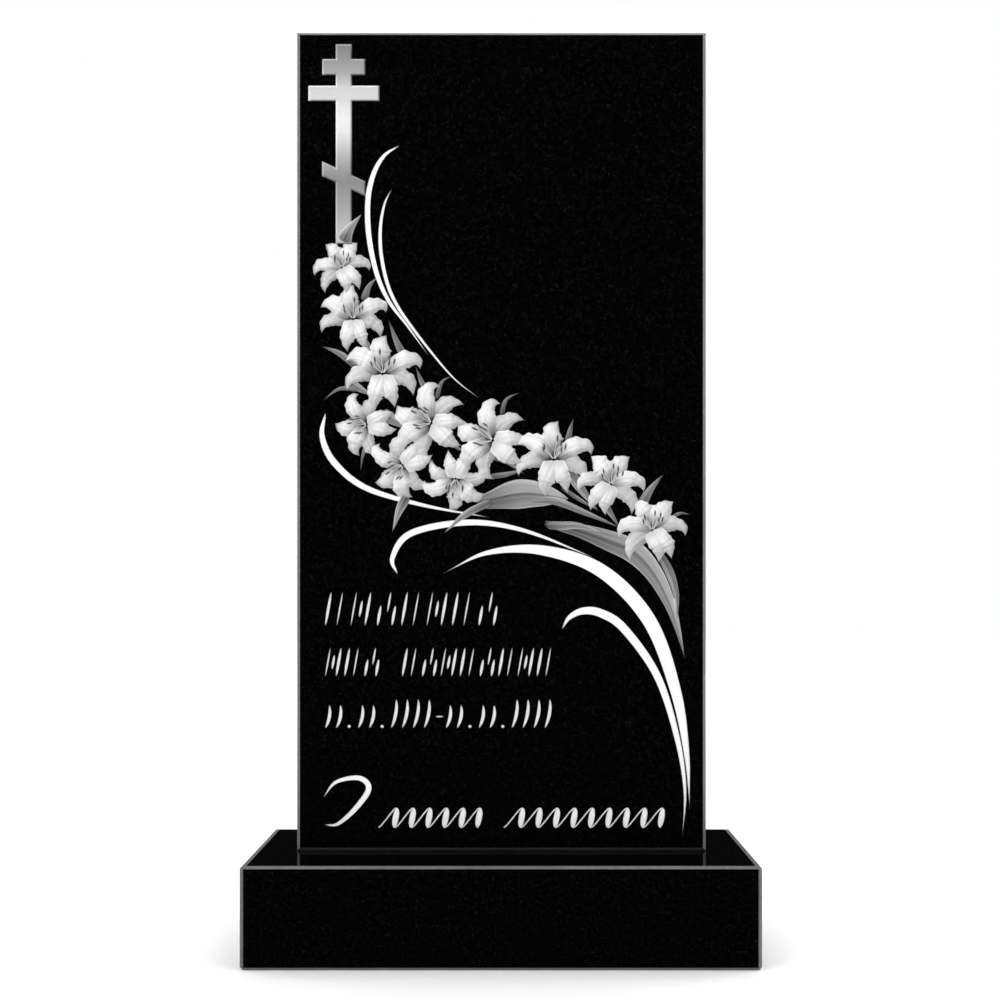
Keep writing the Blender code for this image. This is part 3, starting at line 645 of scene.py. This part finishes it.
# Each petal, far ones first: its tip, the angles that it leaves and ends at, its width, its
# base's share of that, how full its left and right shoulders are, and where its shading starts
PETALS = {
    "one up": [
        (0.12, 1.06, 96, 56, 0.60, 0.74, 8.0, 4.5, 0.0),
        (-0.96, -0.42, 172, 264, 0.50, 0.90, 2.4, 5.0, 0.1),
        (0.80, -0.62, 0, -84, 0.52, 0.90, 5.0, 2.4, 0.1),
        (-1.00, 0.38, 136, 208, 0.64, 0.60, 2.6, 6.0, 0.0),
        (1.00, 0.18, 48, -84, 0.56, 0.60, 5.5, 2.6, 0.0),
        (0.33, -0.92, -64, -86, 0.47, 1.00, 3.0, 4.2, 0.5),
        (-0.24, -0.98, -112, -74, 0.53, 1.00, 4.2, 3.0, 0.5),
    ],
    "two up": [
        (-0.60, 0.84, 106, 140, 0.60, 0.74, 4.5, 8.0, 0.0),
        (0.98, -0.16, 36, -92, 0.50, 0.76, 5.0, 2.6, 0.1),
        (-0.62, -0.90, 206, 276, 0.54, 0.90, 2.4, 4.5, 0.3),
        (0.64, 0.86, 66, 40, 0.64, 0.60, 7.0, 4.5, 0.0),
        (-0.98, -0.22, 146, 268, 0.54, 0.62, 2.8, 5.0, 0.1),
        (0.60, -0.82, -36, -84, 0.51, 1.00, 3.6, 3.8, 0.5),
        (0.14, -0.94, -78, -104, 0.50, 1.00, 4.0, 3.0, 0.5),
    ],
}
PETALS_FAR = 3
PETAL_ROWS = 36
PETAL_COLUMNS = 14
PETAL_EDGE = 2.05
NEAR_STEP = 0.42
RANK_STEP = 0.16
PETAL_CROWN = 0.40
PETAL_POINT = 1.4
random = np.random.default_rng(11)


def petal_path(tip, leaves_at, ends_at, rows):
    """A cubic Bezier curve from the throat to the tip, with the angles that it leaves and ends at."""
    t = np.linspace(0, 1, rows + 1)[:, None]
    tip = np.array(tip)
    length = np.linalg.norm(tip)
    out = np.array([math.cos(math.radians(leaves_at)), math.sin(math.radians(leaves_at))])
    home = np.array([math.cos(math.radians(ends_at)), math.sin(math.radians(ends_at))])
    first, second = out * length * 0.52, tip - home * length * 0.40
    start = out * 0.02
    return start * (1 - t) ** 3 + 3 * first * t * (1 - t) ** 2 + 3 * second * t**2 * (1 - t) + tip * t**3


def turned(points, degrees):
    """Points turned anticlockwise about the origin."""
    angle = math.radians(degrees)
    return points @ np.array([[math.cos(angle), math.sin(angle)], [-math.sin(angle), math.cos(angle)]])


def petal(x, z, reach, turn, mirror, rank, near, shape):
    """One petal: a ribbon with ruffled edges. A rounded form that arches up and turns back gives
    its tone, as if lit from the upper left, and the same form, flattened, is its relief."""
    tip_x, tip_z, leaves_at, ends_at, width, base, full_left, full_right, first_shade = shape
    path = petal_path((tip_x, tip_z), leaves_at, ends_at, PETAL_ROWS)
    along = np.linspace(0, 1, PETAL_ROWS + 1)
    waves = np.clip((along - 0.25) / 0.3, 0, 1) * (1 - along) ** 0.3
    sides = []
    for full in (full_left, full_right):
        slow, fast = random.uniform(1.8, 2.6), random.uniform(4.5, 6.5)
        ruffle = 0.11 * np.sin(2 * np.pi * (slow * along + random.uniform(0, 1)))
        ruffle = ruffle + 0.10 * np.sin(2 * np.pi * (fast * along + random.uniform(0, 1)))
        half = blade_half(along, width, base, full) * (1 - along**full) ** (PETAL_POINT - 1)
        sides.append(np.maximum(half * (1 + waves * ruffle), 0.006))
    left, right = sides
    grid = ribbon(path, left, right, PETAL_COLUMNS)
    if mirror:
        grid = grid[:, ::-1] * np.array([-1, 1])
    share = np.linspace(-1, 1, PETAL_COLUMNS + 1)
    half = (left + right) / 2
    rounded = (1 - share**2)[None, :] * half[:, None]
    groove = np.exp(-((share / 0.16) ** 2))[None, :] * half[:, None] * (1 - along[:, None])
    ripple = np.sin(2 * np.pi * (2.4 * along[:, None] + 0.3 * share[None, :] + random.uniform(0, 1)))
    arch = np.sin(np.pi * along**0.75)[:, None]
    form = 0.26 * arch + 0.60 * rounded - 0.16 * groove + 0.030 * ripple * (share**2)[None, :] * along[:, None]
    sheet = turned(grid, turn)
    surface = np.concatenate([sheet, form[..., None]], axis=-1)
    normal = np.cross(np.gradient(surface, axis=1), np.gradient(surface, axis=0))
    normal *= np.sign(normal[..., 2:3] + 1e-9) / (np.linalg.norm(normal, axis=-1, keepdims=True) + 1e-9)
    tone = 0.65 + 0.27 * np.clip(normal @ LIGHT, 0, 1)
    core = np.exp(-((along / 0.16) ** 2))[:, None]
    tone = tone * (1 - core) + 0.78 * core
    if not near:
        tone = tone * (0.84 + 0.16 * np.clip((along - 0.35) / 0.35, 0, 1))[:, None]
    tone = tone - 0.10 * np.clip((along - 0.78) / 0.22, 0, 1)[:, None] * (1 + share[None, :]) / 2
    depth = PETAL_EDGE - NEAR_STEP * near - RANK_STEP * rank
    depth = depth - PETAL_CROWN * (rounded / rounded.max()) * (0.4 + 0.6 * arch)
    body = carved_body(np.array([x, z]) + reach * sheet, depth, tone, random.uniform(0, 9))
    body[4][:, 0] = first_shade + (1 - first_shade) * body[4][:, 0]
    return body


def stamen(x, z, reach, turn, rank, angle, length):
    """A filament, a thin ribbon that bends outwards, and its anther, a short lens at its end."""
    along = np.linspace(0, 1, 9)
    out = np.array([math.cos(math.radians(angle)), math.sin(math.radians(angle))])
    aside = np.array([-out[1], out[0]])
    lean = 0.10 * length * np.sign(angle - 90)
    path = out * (0.05 + (length - 0.05) * along)[:, None] + aside * (lean * along**2)[:, None]
    top = PETAL_EDGE - NEAR_STEP - RANK_STEP * rank - PETAL_CROWN
    half = np.full(9, 0.009)
    line = np.array([x, z]) + reach * turned(ribbon(path, half, half, 2), turn)
    filament = carved_body(line, np.full((9, 3), top - 0.02) - [0.0, 0.05, 0.0], np.full((9, 3), 0.76), 1)
    tip = path[-1] + np.linspace(-0.07, 0.07, 9)[:, None] * (out * 0.5 + np.array([0.0, 0.85]))
    half = np.maximum(0.026 * swell(along, 0.5, 0.6), 0.005)
    bead = np.array([x, z]) + reach * turned(ribbon(tip, half, half, 4), turn)
    crest = top - 0.05 - np.array([0.0, 0.05, 0.07, 0.05, 0.0])
    anther = carved_body(bead, np.tile(crest, (9, 1)), np.full((9, 5), 0.34), 1)
    return [filament, anther]


def lily(x, z, reach, turn, form, rank):
    """A flower's petals, the far ones first."""
    shapes = PETALS[form.removesuffix(", mirrored")]
    return [petal(x, z, reach, turn + random.uniform(-3, 3), form.endswith("mirrored"), rank,
                  place >= PETALS_FAR, shape) for place, shape in enumerate(shapes)]


def lily_stamens(x, z, reach, turn, form, rank):
    """Six stamens, fanned about the way that the flower faces."""
    bodies = []
    for angle, length in ((52, 0.46), (62, 0.36), (70, 0.50), (88, 0.56), (116, 0.46), (128, 0.38)):
        bodies += stamen(x, z, reach, turn, rank, angle + random.uniform(-4, 4),
                         length * random.uniform(0.92, 1.08))
    return bodies


etched_petals = etched("etched_petals", 7.0, 0.055, 0.66, 0.06, 0.02)
etched_stamens = etched("etched_stamens", 1.0, 0.0, 0.0, 0.0, 0.01)
carved_piece("lilies", [body for flower in LILIES for body in lily(*flower)], etched_petals)
carved_piece("stamens", [body for flower in LILIES for body in lily_stamens(*flower)], etched_stamens)


# The inscription: rows of shallow slanting strokes that aren't letters, in the places of the
# name, the dates and the closing words. Each is cut as a lens or a running wave.
ROW_LEFT = 35.0
ROW_SLANT = 10.0
# Each row of marks: its foot, its height, its pitch and the mark in each place; 0 is bare
NAME_ROWS = [
    (275.0, 41.0, 31.0, [1, 2, 3, 1, 2, 1, 3]),
    (213.0, 35.0, 23.5, [2, 1, 3, 0, 1, 3, 2, 1, 3, 1, 2, 1]),
]
NAME_STROKE_WIDTH = 3.6
# The strokes of each mark: shares of the pitch, the height, the height and the width
NAME_MARKS = {
    1: [(0.00, 0.00, 1.00, 1.0), (0.45, 0.00, 1.00, 0.6)],
    2: [(0.00, 0.00, 1.00, 0.6), (0.28, 0.25, 0.50, 0.9), (0.56, 0.00, 1.00, 1.0)],
    3: [(0.05, 0.00, 0.60, 1.0), (0.35, 0.40, 0.60, 0.7), (0.62, 0.00, 0.60, 1.0)],
}
# The narrow row: 1 is a short stroke, 2 a tall one, 3 a dot and 4 a level dash
DATE_ROW = (150.0, 35.0, 13.4, [1, 1, 3, 1, 1, 3, 2, 2, 2, 2, 4, 1, 1, 3, 1, 1, 3, 2, 2, 2, 2])
DATE_STROKE_WIDTH = 4.2
DATE_BOW = 2.5
SHORT_MARK_SHARE = 0.8
DOT_SIZE = 4.0
# The running row: an opening sweep, then waves that are thick where they fall
WAVE_FOOT = 29.0
WAVE_HEIGHT = 23.0
WAVE_LEAN = 26.0
WAVE_RUNS = [(100.0, 122.0, 6), (253.0, 192.0, 9)]
WAVE_STEPS = 40
WAVE_THIN = 1.8
WAVE_THICK = 7.5
OPENING_SWEEP = [(33, 66), (48, 84), (76, 89), (88, 76), (72, 52), (50, 33), (34, 32)]
OPENING_WIDTH = 7.0
STROKE_EDGE = 0.8
STROKE_CREST = 0.35


def cut_line(path, half, tone):
    """A ribbon with a ridged crest along a path, in one tone."""
    grid = ribbon(path, half, half, 4)
    share = np.linspace(-1, 1, 5)
    depth = STROKE_EDGE - STROKE_CREST * (1 - share[None, :] ** 2) * (half / half.max())[:, None]
    return carved_body(grid, depth, np.full(depth.shape, tone), 0)


def stroke(foot_x, foot_z, height, width, bow=0.0):
    """One slanting stroke: a narrow lens, straight or bowed to its right by a parabola."""
    along = np.linspace(0, 1, 13)
    lean = math.tan(math.radians(ROW_SLANT)) * height
    path = np.array([foot_x, foot_z]) + along[:, None] * np.array([lean, height])
    path[:, 0] += bow * 4 * along * (1 - along)
    return cut_line(path, np.maximum(width / 2 * swell(along, 0.5, 0.5), 0.12), 0.90)


def name_row(foot, height, pitch, marks):
    """A row of marks, each a few parallel strokes of different heights."""
    lean = math.tan(math.radians(ROW_SLANT)) * height
    return [stroke(ROW_LEFT + (place + aside) * pitch + raised * lean, foot + raised * height, tall * height,
                   thick * NAME_STROKE_WIDTH)
            for place, mark in enumerate(marks) for aside, raised, tall, thick in NAME_MARKS.get(mark, [])]


def date_row(foot, height, pitch, marks):
    """A row of narrow bowed strokes in groups, with dots and a dash between the groups."""
    bodies = []
    for place, mark in enumerate(marks):
        left = ROW_LEFT + place * pitch
        if mark in (1, 2):
            tall = height * (SHORT_MARK_SHARE if mark == 1 else 1.0)
            bodies.append(stroke(left, foot, tall, DATE_STROKE_WIDTH, DATE_BOW))
        if mark == 3:
            bodies.append(stroke(left + DOT_SIZE / 2, foot, DOT_SIZE, DOT_SIZE))
        if mark == 4:
            middle = foot + 0.4 * height
            along = np.linspace(0, 1, 13)
            dash = np.linspace((left, middle), (left + 0.8 * pitch, middle), 13)
            bodies.append(cut_line(dash, np.maximum(DATE_STROKE_WIDTH / 4 * swell(along), 0.12), 0.9))
    return bodies


def wave_run(left, length, waves):
    """Waves that lean to the right: a raised cosine, thin where it rises, thick where it falls."""
    along = np.linspace(0, 1, waves * WAVE_STEPS + 1)
    turn = 2 * np.pi * waves * along
    rise = WAVE_HEIGHT / 2 * (1 - np.cos(turn))
    path = np.stack([left + along * length + math.tan(math.radians(WAVE_LEAN)) * rise, WAVE_FOOT + rise], axis=1)
    return cut_line(path, (WAVE_THIN + (WAVE_THICK - WAVE_THIN) * np.clip(-np.sin(turn), 0, 1)) / 2, 0.99)


strokes = date_row(*DATE_ROW)
for row in NAME_ROWS:
    strokes += name_row(*row)
strokes += [wave_run(*run) for run in WAVE_RUNS]
opening = smooth_path(OPENING_SWEEP, 40)
strokes.append(cut_line(opening, np.maximum(OPENING_WIDTH / 2 * swell(np.linspace(0, 1, 41)), 0.15), 0.99))
carved_piece("inscription_strokes", strokes, etched_white)


# The slab: one upright plate of black granite, polished on its front and sides. Its front and
# back faces are chamfered all round. The engraving is sunk into it: every form above stands on
# the floor of a cut whose walls go straight down from the polished face.
SLAB_CHAMFER = 0.004
WELD_DISTANCE = 0.000001


def slab_mesh():
    """Four rings of corners make the chamfered sides and the back. The face and the outlines of
    all forms are triangulated together; covered triangles lie on the floor of the cuts, and the
    border between covered and bare triangles is a wall. Face and sides are then welded."""
    low, high = slab_low, slab_high
    rings = []
    for y, inset in ((low[1], SLAB_CHAMFER), (low[1] + SLAB_CHAMFER, 0.0),
                     (high[1] - SLAB_CHAMFER, 0.0), (high[1], SLAB_CHAMFER)):
        rings += [(low[0] + inset, y, low[2] + inset), (high[0] - inset, y, low[2] + inset),
                  (high[0] - inset, y, high[2] - inset), (low[0] + inset, y, high[2] - inset)]
    around = np.arange(4)
    ahead = np.roll(around, -1)
    sides = np.concatenate([np.stack([a + around, a + 4 + around, a + 4 + ahead, a + ahead], axis=-1)
                            for a in (0, 4, 8)])
    back = [[15, 14, 13, 12]]
    inset = SLAB_CHAMFER * 1000
    frame_loop = np.array([(inset, inset), (SHEET_SIZE[0] - inset, inset),
                           (SHEET_SIZE[0] - inset, SHEET_SIZE[1] - inset), (inset, SHEET_SIZE[1] - inset)])
    points, triangles, covers = triangulated([frame_loop] + cut_outlines)
    cut = np.array([max(cover) > 0 for cover in covers])
    count = len(points)
    flat = np.concatenate([points, points])
    deep = np.repeat([0.0, CUT_FLOOR], count)
    places = np.stack([(flat[:, 0] - SHEET_SIZE[0] / 2) / 1000, FACE_Y + deep / 1000,
                       slab_low[2] + flat[:, 1] / 1000], axis=-1)
    border = open_sides(triangles[cut], count)
    walls = np.stack([border[:, 1], border[:, 1] + count, border[:, 0] + count, border[:, 0]], axis=-1)
    faces = [sides.tolist() + back]
    start = len(rings)
    faces.append((triangles[~cut] + start).tolist())
    faces.append((walls + start).tolist() + (triangles[cut] + count + start).tolist())
    mesh = bpy.data.meshes.new("stela_stone")
    mesh.from_pydata(rings + places.tolist(), [], [face for group in faces for face in group])
    polished = len(faces[0]) + len(faces[1])
    finish = np.repeat([0, 1], [polished, len(faces[2])])
    mesh.polygons.foreach_set("material_index", finish.astype(np.int32))
    solid = bmesh.new()
    solid.from_mesh(mesh)
    bmesh.ops.remove_doubles(solid, verts=solid.verts, dist=WELD_DISTANCE)
    unused = [point for point in solid.verts if not point.link_faces]
    bmesh.ops.delete(solid, geom=unused, context="VERTS")
    solid.to_mesh(mesh)
    solid.free()
    return mesh


def cut_granite_material():
    """The stone inside the cuts: matt, paler than the polish, with the grain showing."""
    material = new_material("cut_granite")
    tree = material.node_tree
    place = node(tree, "ShaderNodeTexCoord").outputs["Object"]
    pits = node(tree, "ShaderNodeTexNoise", Vector=place, Scale=1600.0, Detail=3.0)
    tone = node(tree, "ShaderNodeMapRange", Value=pits.outputs["Fac"], To_Min=0.05, To_Max=0.14)
    bump = node(tree, "ShaderNodeBump", Height=pits.outputs["Fac"], Distance=0.0003, Strength=0.5)
    stone = node(tree, "ShaderNodeBsdfPrincipled", Base_Color=tone.outputs[0], Roughness=0.85,
                 Normal=bump.outputs[0])
    node(tree, "ShaderNodeOutputMaterial", Surface=stone.outputs[0])
    return material


slab = slab_mesh()
welded = bpy.data.objects.new("stela_stone", slab)
bpy.context.collection.objects.link(welded)
slab.materials.append(granite("stela_granite", tuple((slab_low + slab_high) / 2),
                              tuple((slab_high - slab_low) / 2), SLAB_CHAMFER, SLAB_CHAMFER, 0.0, 0.0002))
slab.materials.append(cut_granite_material())
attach(welded, "root")
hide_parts("stela")
